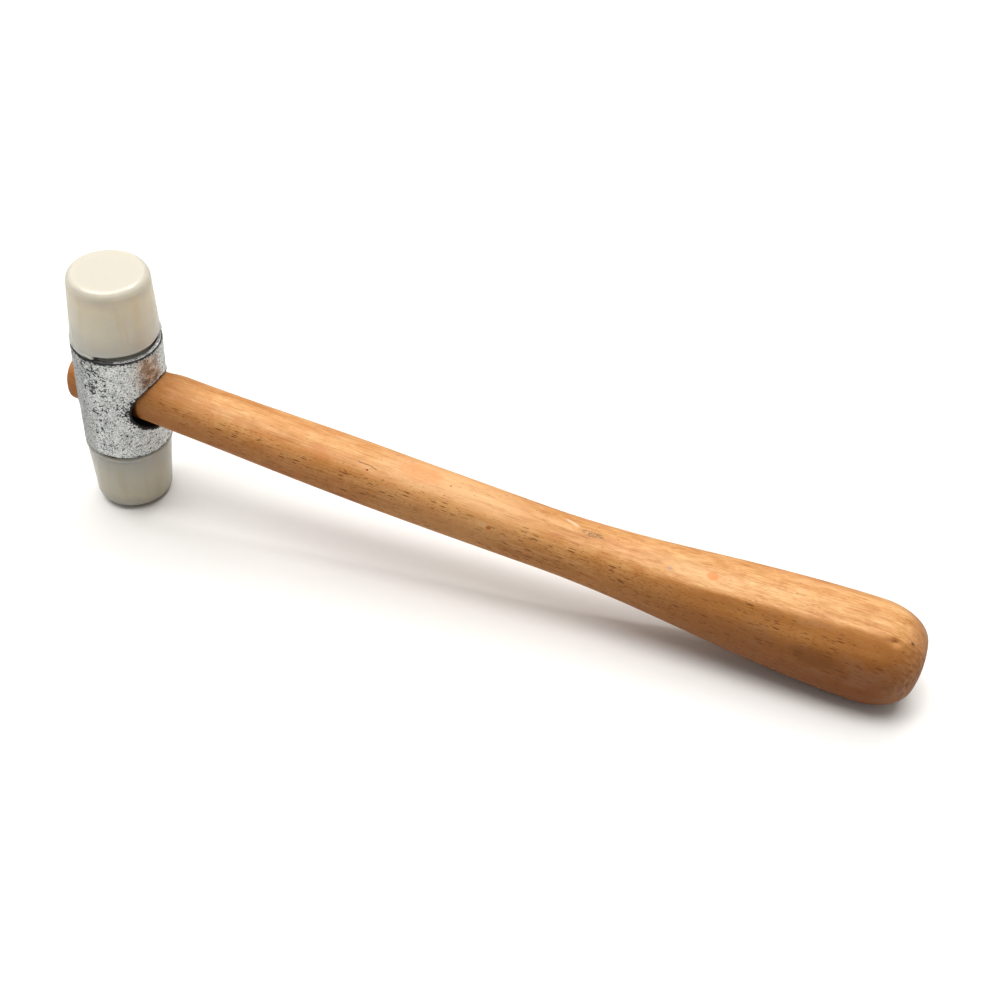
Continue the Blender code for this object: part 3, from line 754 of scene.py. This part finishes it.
def zinc_material(sizes, to_world):
    """Matt, grainy zinc plating on a pitted casting, black in the pits, with painted shade in the eye, the
    sockets, the gap round the eye and on the left side, a painted dark reflection on the chamfers, bright
    turned rims with painted glints and dark patches, and a bright worn edge with a painted highlight on the
    eye's upper grip-side edge.
    """
    m = Shading("zinc_on_casting", to_world)
    around = m.from_axis()
    height = m.size(m.z)
    degrees = m.degrees(m.y, m.x)
    on_rim = m.times(m.step(height, sizes["rim_z"] - 0.07, sizes["rim_z"] - 0.03),
                     m.step(around, SOCKET_RADIUS - 0.1, SOCKET_RADIUS + 0.1))

    cloud = m.noise(0.35, 4.0, 0.6)
    grain = m.noise(2.4, 5.0, 0.78)
    fine = m.noise(5.0, 2.0, 0.6)
    hatch = m.noise((0.9, 0.9, 2.6), 4.0, 0.7, 1.2)
    shade = m.linear(cloud, 0.14, m.times(grain, 0.54))
    shade = m.plus(shade, m.linear(fine, 0.14, m.times(hatch, 0.18)))
    colour = m.ramp(shade, (0.405, (0.06, 0.065, 0.07)), (0.45, (0.40, 0.42, 0.415)),
                    (0.50, (0.78, 0.81, 0.795)), (0.56, (1.0, 1.0, 0.985)))
    dark = zinc_specks(m)
    colour = m.paint(colour, (0.045, 0.048, 0.052), dark)

    # Painted shade: the casting's left side darker, in cloudy patches.
    left_side_shade = m.times(m.band(degrees, -136.0, 20.0, 23.0), m.step(cloud, 0.25, 0.55))
    colour = m.paint(colour, (0.22, 0.235, 0.24), left_side_shade, 0.50)
    stain = m.times(m.band(degrees, -14.0, 11.0, 9.0), m.band(m.z, 12.6, 4.6, 3.0))
    stain = m.times(stain, m.patches(0.5, 0.36, 0.58, 4.0, 0.65))
    colour = m.paint(colour, (0.25, 0.175, 0.115), stain, 0.68)

    outside_eye = m.oval(EYE_BACK)
    grip_side = m.step(m.x, 2.0, 5.0)
    # A bright edge just outside the eye on the grip side, only on its upper part: worn metal with a painted
    # highlight.
    worn_edge_and_highlight = m.times(m.band(outside_eye, 1.075, 0.015, 0.025), grip_side,
                        m.step(grain, 0.40, 0.50), m.step(m.z, -1.0, 3.0))
    colour = m.paint(colour, (0.90, 0.91, 0.90), worn_edge_and_highlight, 0.8)
    # Painted shade: a ragged black band round the eye on the grip side, widest at the lower left, for the
    # shaded gap between eye and handle.
    lower_left = m.step(m.linear(m.z, 0.8, m.y), -3.0, -8.5)
    eye_gap_shade = m.times(m.minus(m.noise(0.75, 4.0, 0.7), 0.5), 0.45)
    eye_gap_shade = m.minus(m.plus(outside_eye, eye_gap_shade), m.times(lower_left, 0.035))
    eye_gap_shade = m.times(m.step(eye_gap_shade, 1.07, 1.03), grip_side)
    colour = m.paint(colour, (0.020, 0.021, 0.023), eye_gap_shade)

    # Darker the deeper the surface lies below the wall: dark pits, and painted shade inside the eye and the
    # sockets.
    floor_z = sizes["rim_z"] - SOCKET_DEPTH
    in_socket = m.times(m.step(around, SOCKET_RADIUS + 0.3, SOCKET_RADIUS + 0.15),
                        m.step(height, floor_z - 0.3, floor_z - 0.1))
    sunk = m.minus(sizes["head_radius"], around)
    pit = m.times(m.step(sunk, 0.05, 0.19), m.linear(in_socket, -0.25, 1.0))
    # Black on the chamfers at both ends, all along the front and in patches elsewhere: a painted dark
    # reflection.
    edge = m.linear(m.minus(m.noise(1.1, 4.0, 0.7), 0.5), 2.2, height)
    end = m.times(m.step(edge, sizes["rim_z"] - 0.75, sizes["rim_z"] - 0.50),
                  m.step(around, sizes["head_radius"] - 0.52, sizes["head_radius"] - 0.44))
    front = m.band(degrees, -80.0, 18.0, 10.0)
    pits_and_painted_dark = m.most(pit, m.times(end, m.most(front, m.patches(0.9, 0.50, 0.58, 4.0, 0.7))))
    colour = m.paint(colour, (0.014, 0.015, 0.017), pits_and_painted_dark, 0.95)
    # The turned rim: bright metal with painted glints, and black along the front and in patches as painted
    # shade and dark reflection.
    turned = m.noise(0.5, 3.0)
    rim_colour_with_glints = m.ramp(turned, (0.36, (0.45, 0.46, 0.46)), (0.52, (0.97, 0.97, 0.96)))
    rim_painted_dark = m.most(m.times(front, m.step(turned, 0.72, 0.58)), m.patches(1.7, 0.52, 0.60, 4.0, 0.7))
    rim_colour_with_glints = m.paint(rim_colour_with_glints, (0.030, 0.032, 0.035), rim_painted_dark, 0.88)
    colour = m.paint(colour, rim_colour_with_glints, on_rim)

    pits_and_painted_dark = m.most(m.most(pits_and_painted_dark, eye_gap_shade), m.times(dark, 0.6))
    off_rim = m.minus(1.0, on_rim)
    rough = m.math("ADD", m.linear(grain, 0.34, 0.26), m.times(pits_and_painted_dark, 0.3), clamp=True)
    rough = m.times(rough, m.linear(off_rim, 0.5, 0.5))
    metal = m.times(m.linear(pits_and_painted_dark, -0.7, 0.85), m.linear(off_rim, 0.6, 0.4))
    relief = m.minus(m.plus(grain, m.times(fine, 0.4)), dark)
    return m.finish(relief, 0.10, 0.8, Base_Color=colour, Roughness=rough, Metallic=metal)


def nylon_material(name, sizes, to_world, painted_shade_tint):
    """Cream nylon, smooth and slightly translucent, warm under the striking end and greyer at the collar, and
    darkened all over as painted shade where a face stands in shade.
    """
    m = Shading(name, to_world)
    height = m.size(m.z)
    low, high = sizes["rim_z"], sizes["face_end_z"]
    share = m.math("DIVIDE", m.minus(height, low), high - low)
    share = m.plus(share, m.times(m.minus(m.noise(0.11, 2.0, 0.5), 0.5), 0.30))
    colour = m.ramp(share, (0.05, (0.63, 0.61, 0.54)), (0.45, (0.82, 0.765, 0.62)),
                    (0.76, (0.86, 0.785, 0.60)), (0.93, (0.68, 0.635, 0.535)))
    streak = m.patches((0.35, 0.35, 0.02), 0.52, 0.64, 3.0, 0.5)
    streak = m.times(streak, m.step(height, high - 1.5, high - 6.0))
    colour = m.paint(colour, (0.74, 0.60, 0.36), streak, 0.22)
    colour = m.paint(colour, (0.66, 0.62, 0.56), m.patches(0.8, 0.40, 0.62, 4.0, 0.65), 0.09)
    # Painted shade: a face in shade is darkened all over.
    colour = m.paint(colour, painted_shade_tint, 1.0, mode="MULTIPLY")
    dust, pick = m.cells(0.6)
    dirt = m.times(m.step(dust, 0.10, 0.05), m.step(pick[0], 0.84, 0.88))
    colour = m.paint(colour, (0.30, 0.26, 0.20), dirt, 0.35)
    scuff = m.noise((0.9, 0.35, 0.9), 4.0, 0.65)
    struck = m.step(height, high - 0.5, high - 0.05)
    rough = m.plus(m.linear(m.step(scuff, 0.48, 0.7), 0.05, 0.11), m.times(struck, 0.22))
    return m.finish(scuff, 0.008, 0.3, Base_Color=colour, Roughness=rough, Subsurface_Weight=0.85,
                    Subsurface_Radius=(1.0, 0.85, 0.6), Subsurface_Scale=0.0055, IOR=1.53)


def marks_on_handle(m, colour):
    """Single marks on the handle: a crack, a fleck of paint, scuffs and stains, at fixed places."""
    wiggle = m.times(m.minus(m.noise(0.5, 2.0), 0.5), 0.8)
    off_line = m.minus(m.y, m.plus(m.linear(m.x, -0.07, 1.80), wiggle))
    crack = m.times(m.band(off_line, 0.0, 0.08, 0.12), m.band(m.x, 85.2, 2.6, 1.0), m.step(m.z, 4.0, 6.0))
    colour = m.paint(colour, (0.20, 0.06, 0.02), crack, 0.75)

    scribble = m.band(m.noise((0.7, 1.6, 1.6), 4.0, 0.7, 1.5), 0.5, 0.030, 0.020)
    scratch = m.band(m.linear(m.x, 0.35, m.y), 52.6, 0.30, 0.35)
    for place, squeeze, reach, spot_colour, strength, pattern in (
            ((85.7, -5.5, 6.1), 0.8, 0.32, (0.35, 0.02, 0.01), 0.95, None),
            ((190.0, -3.4, 9.6), 0.7, 1.25, (0.80, 0.20, 0.045), 0.60, None),
            ((101.0, -0.6, 7.2), 0.5, 3.5, (0.68, 0.24, 0.07), 0.45, None),
            ((70.0, -5.0, 5.9), 0.4, 2.2, (0.60, 0.22, 0.07), 0.40, None),
            ((178.1, -4.4, 8.1), 0.8, 0.6, (0.36, 0.24, 0.23), 0.45, None),
            ((246.0, -4.3, 11.2), 0.8, 0.5, (0.10, 0.04, 0.02), 0.80, None),
            ((123.2, -7.6, 2.8), 0.5, 0.8, (0.80, 0.52, 0.30), 0.25, None),
            ((125.2, -7.8, 2.3), 0.6, 0.5, (0.42, 0.08, 0.02), 0.80, None),
            ((143.9, -4.7, 5.8), 0.35, 0.5, (0.50, 0.15, 0.06), 0.55, None),
            ((150.5, -5.2, 5.6), 0.30, 0.5, (0.50, 0.16, 0.07), 0.50, None),
            ((110.5, -1.3, 7.0), 0.8, 0.3, (0.30, 0.08, 0.03), 0.80, None),
            ((223.0, -12.8, 2.0), 0.40, 3.0, (0.20, 0.065, 0.010), 0.50, None),
            ((147.5, 1.0, 6.8), 0.8, 1.8, (0.95, 0.80, 0.60), 0.40, scratch),
            ((154.0, -1.0, 7.0), 0.3, 1.1, (0.10, 0.04, 0.02), 0.80, scribble)):
        squeezed = m.vectors("MULTIPLY", m.place, (squeeze, 1.0, 1.0))
        centre = (squeeze * place[0], place[1], place[2])
        distance = m.vectors("DISTANCE", squeezed, centre, "Value")
        uneven = m.linear(m.noise(0.6, 3.0), 0.7 * reach, 0.65 * reach)
        spot = m.step(m.minus(distance, uneven), 0.25 * reach, -0.35 * reach)
        if pattern is not None:
            spot = m.times(spot, pattern)
        colour = m.paint(colour, spot_colour, spot, strength)
    return colour


def below_ridge_line(m, sizes):
    """1 on the side of the handle below the worn ridge that runs along the grip, 0 above it."""
    along = m.math("DIVIDE", m.x, sizes["handle_end"])
    bow = m.times(along, m.minus(1.0, along), 4.0 * HANDLE_BOW)
    centre = m.plus(bow, m.linear(m.x, HANDLE_SLOPE, HANDLE_RISE))
    turn = m.degrees(m.minus(centre, m.z), m.times(m.y, -1.0))
    ridge = m.linear(m.x, RIDGE_SLOPE, RIDGE_START - RIDGE_SLOPE * SWELL_X[0] - 180.0)
    crispness = m.linear(m.step(m.x, 155.0, 205.0), 0.8, 0.2)
    past_ridge = m.step(m.times(m.minus(m.minus(turn, ridge), 3.0), crispness), -6.0, 6.0)
    return m.times(past_ridge, m.step(turn, 125.0, 80.0))


def beech_flecks(m, flecked_side):
    """Short dark flecks along the grain, in two sizes, most of them on two sides and in clusters."""
    layers = []
    for rate, thin_rate, shown_from, strength in ((0.25, 1.6, 0.97, 1.0), (0.60, 2.9, 0.85, 0.75)):
        distance, pick = m.cells((rate, thin_rate, thin_rate))
        shape = m.minus(m.linear(pick[1], 0.22, 0.13), distance)
        shown = m.step(m.linear(flecked_side, 0.60, pick[0]), shown_from, shown_from + 0.10)
        layers.append(m.times(m.step(shape, -0.05, 0.06), shown, strength))
    cluster = m.patches((0.03, 0.12, 0.12), 0.34, 0.56, 2.0)
    return m.times(m.most(*layers), m.linear(cluster, 0.55, 0.45))


def beech_material(sizes, to_world):
    """Oiled beech: soft bands along the grain, short dark flecks on two sides, end grain and hand wear, with
    painted shade on the broad sides, the underside, below the grip's ridge, on the butt and inside the eye,
    and a painted highlight round the shaft.
    """
    m = Shading("beech_oiled", to_world)
    normal_x, normal_y, normal_z = m.normal
    tilt = m.linear(normal_y, 0.95, m.times(normal_z, 0.03))
    flecked_side = m.step(m.size(tilt), 0.46, 0.86)
    broad_side_shade = m.step(m.size(tilt), 0.05, 0.85)
    under = m.step(m.linear(normal_z, 0.8, m.times(normal_y, 0.6)), 0.15, -0.75)
    bands = m.noise((0.010, 0.17, 0.17), 4.0, 0.6, 0.4)
    fibres = m.noise((0.0624, 2.6, 2.6), 5.0, 0.62)
    mottle = m.noise((0.18, 0.42, 0.42), 4.0, 0.62, 0.6)
    tone = m.plus(m.times(bands, 0.34), m.times(fibres, 0.40), m.times(mottle, 0.26))
    colour = m.ramp(tone, (0.37, (0.41, 0.155, 0.042)), (0.45, (0.58, 0.268, 0.088)),
                    (0.53, (0.70, 0.367, 0.145)), (0.62, (0.81, 0.50, 0.242)))
    colour = m.paint(colour, (0.68, 0.31, 0.15), m.patches((0.05, 0.2, 0.2), 0.50, 0.64), 0.22)
    colour = m.paint(colour, (0.81, 0.51, 0.24), m.patches((0.0455, 0.208, 0.208), 0.52, 0.66), 0.28)
    blotch = m.times(m.patches((0.22, 0.45, 0.45), 0.44, 0.62, 4.0, 0.65), m.step(m.x, 118.0, 60.0))
    colour = m.paint(colour, (0.64, 0.25, 0.075), blotch, 0.36)
    # Painted highlight: a lighter band round the shaft about 112 mm along the handle.
    colour = m.paint(colour, (0.86, 0.53, 0.27), m.band(m.x, 112.0, 12.0, 18.0), 0.36)
    # Painted shade: the two broad sides of the handle darker.
    colour = m.paint(colour, (0.85, 0.71, 0.53), broad_side_shade, 0.9, "MULTIPLY")

    # Painted shade: the face below the worn ridge along the grip darker.
    below_ridge_shade = m.times(below_ridge_line(m, sizes), m.step(m.x, 140.0, 200.0))
    colour = m.paint(colour, (0.42, 0.165, 0.038), below_ridge_shade, 0.62)
    # Painted shade: the butt's side that faces -Y and +X darker.
    butt_side_shade = m.linear(normal_z, -0.20, m.linear(normal_x, 0.48, m.times(normal_y, -0.80)))
    butt_side_shade = m.times(m.step(butt_side_shade, 0.15, 0.65), m.step(m.x, 212.0, 244.0))
    colour = m.paint(colour, (0.30, 0.105, 0.022), butt_side_shade, 0.72)
    # Painted shade: the underside darker, strongest along the grip.
    underside_shade = m.times(under, m.linear(m.step(m.x, 138.0, 228.0), 0.68, 0.08))
    colour = m.paint(colour, (0.235, 0.065, 0.008), underside_shade)

    flecks = beech_flecks(m, flecked_side)
    colour = m.paint(colour, (0.145, 0.040, 0.010), flecks, 0.85)
    pores, _ = m.cells((0.5, 3.8, 3.8))
    pores = m.times(m.step(pores, 0.30, 0.10), m.linear(flecked_side, 0.26, 0.22))
    colour = m.paint(colour, (0.20, 0.07, 0.020), pores)
    rings = m.noise((0.32, 1.6, 0.56), 4.0, 0.6)
    end_colour = m.ramp(rings, (0.35, (0.23, 0.085, 0.025)), (0.62, (0.48, 0.215, 0.080)))
    end_grain = m.times(m.step(m.size(normal_x), 0.14, 0.65), m.linear(m.step(m.x, 0.0, -8.0), 0.20, 0.74))
    colour = m.paint(colour, end_colour, end_grain)
    smear = m.noise((0.05, 0.14, 0.14), 5.0, 0.65)
    rubbed = m.times(m.step(smear, 0.50, 0.64), m.step(tilt, -0.30, -0.80), m.step(m.x, 190.0, 220.0))
    colour = m.paint(colour, (0.42, 0.27, 0.18), rubbed, 0.17)
    colour = m.paint(colour, (0.46, 0.165, 0.040), m.step(m.x, 34.0, 15.0), 0.45)
    # Painted shade: the handle darker where it lies inside the eye.
    eye_shade = m.step(m.from_axis(), sizes["head_radius"] - 0.5, sizes["head_radius"] - 1.5)
    colour = m.paint(colour, (0.05, 0.016, 0.006), eye_shade, 0.9)
    colour = marks_on_handle(m, colour)

    rough = m.plus(m.linear(fibres, 0.22, 0.36), m.times(flecks, 0.12))
    rough = m.math("ADD", rough, m.times(m.minus(smear, 0.5), 0.3), clamp=True)
    relief = m.minus(fibres, m.times(flecks, 0.7))
    return m.finish(relief, 0.06, 0.45, Base_Color=colour, Roughness=rough, Specular_IOR_Level=0.18)


def wedge_wood_material(to_world):
    m = Shading("wedge_end_grain", to_world)
    rings = m.noise((0.42, 0.84, 3.08), 4.0, 0.6)
    colour = m.ramp(rings, (0.35, (0.16, 0.07, 0.03)), (0.65, (0.40, 0.22, 0.11)))
    return m.finish(rings, 0.05, 0.5, Base_Color=colour, Roughness=m.linear(rings, 0.25, 0.5))


def wedge_steel_material(to_world):
    m = Shading("wedge_struck_steel", to_world)
    scratches = m.noise((1.5, 0.6, 4.5), 4.0, 0.65)
    rust = m.patches(0.9, 0.50, 0.66, 4.0, 0.6)
    colour = m.ramp(scratches, (0.3, (0.22, 0.22, 0.23)), (0.7, (0.48, 0.48, 0.49)))
    colour = m.paint(colour, (0.20, 0.09, 0.04), rust, 0.5)
    return m.finish(scratches, 0.03, 0.5, Base_Color=colour, Roughness=m.linear(scratches, 0.3, 0.28),
                    Metallic=m.linear(rust, -0.5, 0.95))


# Stage, lights and camera -------------------------------------------------------------------------

def make_floor():
    """A pale paper floor. It looks white, but throws back less light, like a small sheet of paper."""
    mesh = bpy.data.meshes.new("floor")
    corners = [(x * FLOOR_HALF, y * FLOOR_HALF, 0.0) for x, y in ((-1, -1), (1, -1), (1, 1), (-1, 1))]
    mesh.from_pydata(corners, [], [(0, 1, 2, 3)])
    material = bpy.data.materials.new("floor_paper")
    material.use_nodes = True
    tree = material.node_tree
    shader = tree.nodes["Principled BSDF"]
    shader.inputs["Roughness"].default_value = 0.9
    shader.inputs["Specular IOR Level"].default_value = 0.0
    put(tree, shader.inputs["Base Color"], camera_switch(tree, (0.60, 0.59, 0.57), (0.92, 0.905, 0.875)))
    mesh.materials.append(material)
    floor = add_object("floor", mesh)


def make_world():
    """A studio that is bright well above the object and dim near the horizon. The camera sees plain white."""
    world = bpy.data.worlds.new("soft_sky")
    bpy.context.scene.world = world
    world.use_nodes = True
    tree = world.node_tree
    direction = add_node(tree, "TexCoord", {}).outputs["Generated"]
    height = add_node(tree, "SeparateXYZ", {0: direction}).outputs[2]
    levels = ((0.0, 0.06), (0.40, 0.09), (0.58, 0.38), (0.78, 0.48), (1.0, 0.3))
    sky = add_ramp(tree, height, [(place, (level, level, level)) for place, level in levels])
    put(tree, tree.nodes["Background"].inputs["Color"], camera_switch(tree, sky, (1.0, 1.0, 1.0)))


def add_lamp(name, kind, direction, **values):
    """A lamp away from the object along `direction`, facing the object."""
    data = bpy.data.lights.new(name, kind)
    for key, value in values.items():
        setattr(data, key, value)
    lamp = add_object(name, data)
    towards = Vector(direction).normalized()
    lamp.location = Vector(LAMP_TARGET) + towards * LAMP_DISTANCE
    lamp.rotation_mode = "QUATERNION"
    lamp.rotation_quaternion = towards.to_track_quat("Z", "Y")


def make_lights():
    add_lamp("tent_top", "SUN", (0.0, 0.30, 1.0), angle=math.radians(50.0), energy=1.5)
    add_lamp("overhead_left", "SUN", (-0.35, -0.10, 1.0), angle=math.radians(29.0), energy=1.0)
    add_lamp("overhead", "SUN", (0.0, -0.10, 1.0), angle=math.radians(29.0), energy=0.70)
    add_lamp("back_panel", "AREA", (0.1, 0.50, 0.95), shape="RECTANGLE", size=0.28, size_y=0.08, energy=2.2)


def make_camera():
    azimuth, elevation = math.radians(CAMERA_AZIMUTH), math.radians(CAMERA_ELEVATION)
    back = Vector((math.sin(azimuth) * math.cos(elevation), -math.cos(azimuth) * math.cos(elevation),
                   math.sin(elevation)))
    data = bpy.data.cameras.new("camera")
    data.sensor_width = CAMERA_SENSOR
    data.lens = CAMERA_LENS
    data.shift_x, data.shift_y = CAMERA_SHIFT
    data.clip_start = 0.01
    data.clip_end = 20.0
    camera = add_object("camera", data)
    camera.location = Vector(CAMERA_TARGET) + back * CAMERA_DISTANCE
    camera.rotation_mode = "QUATERNION"
    camera.rotation_quaternion = (-back).to_track_quat("-Z", "Y")
    bpy.context.scene.camera = camera


with open("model.json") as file:
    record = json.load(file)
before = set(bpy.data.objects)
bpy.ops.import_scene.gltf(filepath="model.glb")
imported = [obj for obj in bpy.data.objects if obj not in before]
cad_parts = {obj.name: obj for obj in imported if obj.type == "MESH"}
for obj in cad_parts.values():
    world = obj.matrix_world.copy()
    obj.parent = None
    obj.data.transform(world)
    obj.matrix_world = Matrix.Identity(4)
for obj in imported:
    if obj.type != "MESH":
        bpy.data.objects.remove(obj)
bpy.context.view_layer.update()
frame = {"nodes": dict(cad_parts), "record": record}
to_world = head_to_world(frame["record"])
sizes = measure_frame(frame, to_world)
make_camera()
make_floor()
make_world()
make_lights()
make_head(sizes, to_world, zinc_material(sizes, to_world))
make_face("nylon_face_upper", sizes, 5, UPPER_FACE_TURN, False, to_world, "upper_face", "face_upper",
          nylon_material("nylon_upper", sizes, to_world, (1.0, 1.0, 1.0)))
# The lower face is darkened all over as painted shade.
make_face("nylon_face_lower", sizes, 9, LOWER_FACE_TURN, True, to_world, "lower_face", "face_lower",
          nylon_material("nylon_lower_shaded", sizes, to_world, (0.80, 0.81, 0.82)))
make_handle_and_wedges(sizes, to_world, {
    "beech": beech_material(sizes, to_world),
    "wedge_wood": wedge_wood_material(to_world),
    "wedge_steel": wedge_steel_material(to_world),
})
bpy.context.scene.view_settings.view_transform = "Standard"
